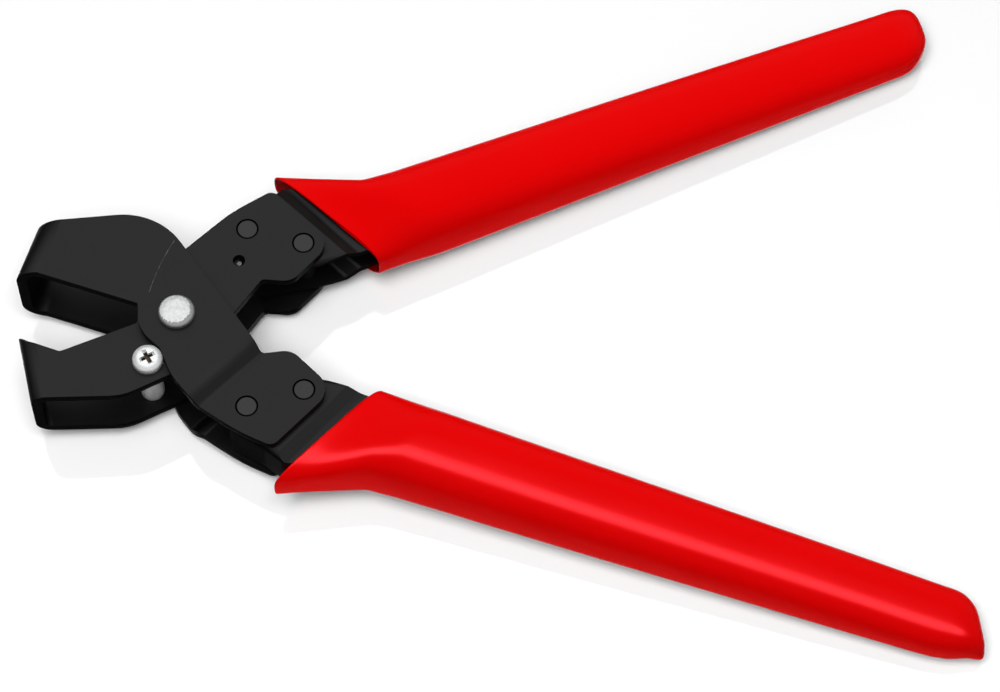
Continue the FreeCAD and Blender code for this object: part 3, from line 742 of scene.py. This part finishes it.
def floor_material():
    made, tree, shader = material("white_table")
    tree.nodes.remove(shader)
    output = tree.nodes["Material Output"]
    tone = ramp(tree, noise(tree, 3.0, 2.0), [(0.0, 0.855), (1.0, 0.865)])
    matt = put(tree, "ShaderNodeBsdfDiffuse", {"Color": tone})
    gloss = put(tree, "ShaderNodeBsdfGlossy", {"Color": (1, 1, 1, 1), "Roughness": 0.03})
    both = put(tree, "ShaderNodeMixShader", {0: 0.035, 1: matt.outputs[0], 2: gloss.outputs[0]})
    # Far from the tool the table runs out into the white of the studio.
    x, y, _ = plan_position(tree)
    away = distance_from(tree, x, y, TABLE_MIDDLE)
    far = ramp(tree, away, [(TABLE_MATT, 0.0), (TABLE_WHITE, 1.0)], True)
    white = put(tree, "ShaderNodeEmission", {"Color": (1, 1, 1, 1), "Strength": 1.0})
    whole = put(tree, "ShaderNodeMixShader", {0: far, 1: both.outputs[0], 2: white.outputs[0]})
    tree.links.new(whole.outputs[0], output.inputs[0])
    return made


def add_floor():
    """A table that slopes as the tool's underside does, because the tool keeps the CAD frame."""
    slope = floor_slope()
    mesh = bpy.data.meshes.new("floor")
    ends = (-TABLE_REACH, TABLE_REACH)
    corners = [(x, y, slope * (x - PIN_HEAD_RADIUS)) for x, y in
               ((ends[0], ends[0]), (ends[1], ends[0]), (ends[1], ends[1]), (ends[0], ends[1]))]
    mesh.from_pydata(corners, [], [(0, 1, 2, 3)])
    floor = bpy.data.objects.new("floor", mesh)
    scene.collection.objects.link(floor)
    wear(floor, floor_material())
    floor.visible_glossy = False
    floor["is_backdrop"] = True
    return floor


def add_softbox(name, place, size, radiance, takers, mirrored=False, above_table=True):
    """A soft area light on the takers only, aimed at the tool.

    A mirrored one shows only as a reflection, the others give light and no reflection.
    One below the table's level adds to the light that the white table throws back, so it
    is blocked by the tool's pieces and not by the table.
    """
    light = bpy.data.lights.new(name, "AREA")
    light.shape = "RECTANGLE"
    light.size, light.size_y = size
    light.energy = radiance * math.pi * size[0] * size[1]
    lamp = bpy.data.objects.new(name, light)
    scene.collection.objects.link(lamp)
    lamp.location = place
    lamp.rotation_mode = "QUATERNION"
    lamp.rotation_quaternion = (Vector(place) - aim).to_track_quat("Z", "Y")
    lamp.visible_camera = False
    group = bpy.data.collections.new(name + "_takers")
    for taker in takers:
        group.objects.link(taker)
    lamp.light_linking.receiver_collection = group
    if not above_table:
        blockers = bpy.data.collections.new(name + "_blockers")
        for piece in pieces:
            blockers.objects.link(piece)
        lamp.light_linking.blocker_collection = blockers
    if mirrored:
        lamp.visible_diffuse = False
    else:
        lamp.visible_glossy = False
        light.cycles.use_multiple_importance_sampling = False


FILL = (0.20, 0.20, 0.20, 1)
WORLD_GAIN = 1.22


def add_world():
    """White behind the table, dim fill light, and a brighter sky in reflections."""
    world = bpy.data.worlds.new("studio")
    scene.world = world
    world.use_nodes = True
    tree = world.node_tree
    back = tree.nodes["Background"]
    direction = put(tree, "ShaderNodeTexCoord").outputs["Generated"]
    parts = put(tree, "ShaderNodeSeparateXYZ", {0: direction}).outputs
    level = maths(tree, "MULTIPLY_ADD", parts[2], 0.5, 0.5)
    around = ramp(tree, level, [(0.0, 0.034), (0.06, 0.034), (0.11, 0.008), (0.55, 0.008),
                                (0.80, 0.60), (0.93, 1.0)])
    behind = ramp(tree, parts[1], [(0.05, 0.0), (0.25, 1.0)])
    low = ramp(tree, level, [(0.12, 0.85), (0.25, 0.0)])
    mirrored = maths(tree, "MAXIMUM", around, maths(tree, "MULTIPLY", behind, low))
    mirrored = maths(tree, "MULTIPLY", mirrored, WORLD_GAIN)
    path = put(tree, "ShaderNodeLightPath")
    fill = mix(tree, path.outputs["Is Glossy Ray"], FILL, mirrored)
    seen = mix(tree, path.outputs["Is Camera Ray"], fill, (1, 1, 1, 1))
    tree.links.new(seen, back.inputs["Color"])


CAMERA_ELEVATION = math.radians(64.53)
CAMERA_AZIMUTH = math.radians(3.75)
CAMERA_ROLL = math.radians(2.36)
CAMERA_DISTANCE = 0.8649
FOCAL_LENGTH, SENSOR_WIDTH = 122.36, 36.0       # mm
AIM_SHIFT = (0.0021, -0.0048)                   # from the middle of the CAD's box


def add_camera():
    elevation, azimuth, roll = CAMERA_ELEVATION, CAMERA_AZIMUTH, CAMERA_ROLL
    toward = Vector((math.sin(azimuth) * math.cos(elevation),
                     math.cos(azimuth) * math.cos(elevation), -math.sin(elevation)))
    flat = toward.cross(Vector((0, 0, 1))).normalized()
    above = flat.cross(toward)
    right = flat * math.cos(roll) + above * math.sin(roll)
    up = above * math.cos(roll) - flat * math.sin(roll)
    data = bpy.data.cameras.new("camera")
    data.lens = FOCAL_LENGTH
    data.sensor_width = SENSOR_WIDTH
    data.clip_start, data.clip_end = 0.05, 20.0
    camera = bpy.data.objects.new("camera", data)
    scene.collection.objects.link(camera)
    turn = Matrix((right, up, -toward)).transposed()
    camera.rotation_mode = "QUATERNION"
    camera.rotation_quaternion = turn.to_quaternion()
    camera.location = aim - toward * CAMERA_DISTANCE
    scene.camera = camera


low, high = cad_bounds
aim = Vector(((low.x + high.x) / 2 + AIM_SHIFT[0], (low.y + high.y) / 2 + AIM_SHIFT[1], MID))
table = add_floor()
add_world()
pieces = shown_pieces()
add_softbox("object_softbox", (0.06, 0.23, 1.0), (0.60, 0.58), radiance=9.9, takers=pieces)
for grip, radiance in ((die_grip, 2.9), (punch_grip, 3.5)):
    add_softbox(grip.name + "_bounce", (0.06, -0.58, -0.56), (0.80, 0.50), radiance,
                takers=[grip], above_table=False)
add_softbox("table_softbox", (-0.04, -0.27, 0.98), (0.60, 0.58), radiance=10.2, takers=[table])
add_softbox("grip_reflector", (0.10, 0.047, 1.0), (1.30, 0.305), radiance=28.0,
            takers=[die_grip], mirrored=True)
add_softbox("table_reflector", (0.08, 0.62, 1.35), (1.20, 1.20), radiance=2.5,
            takers=[table], mirrored=True)
for skin in (punch_grip, die_grip):
    skin.visible_diffuse = False
add_camera()
scene.view_settings.view_transform = "Standard"
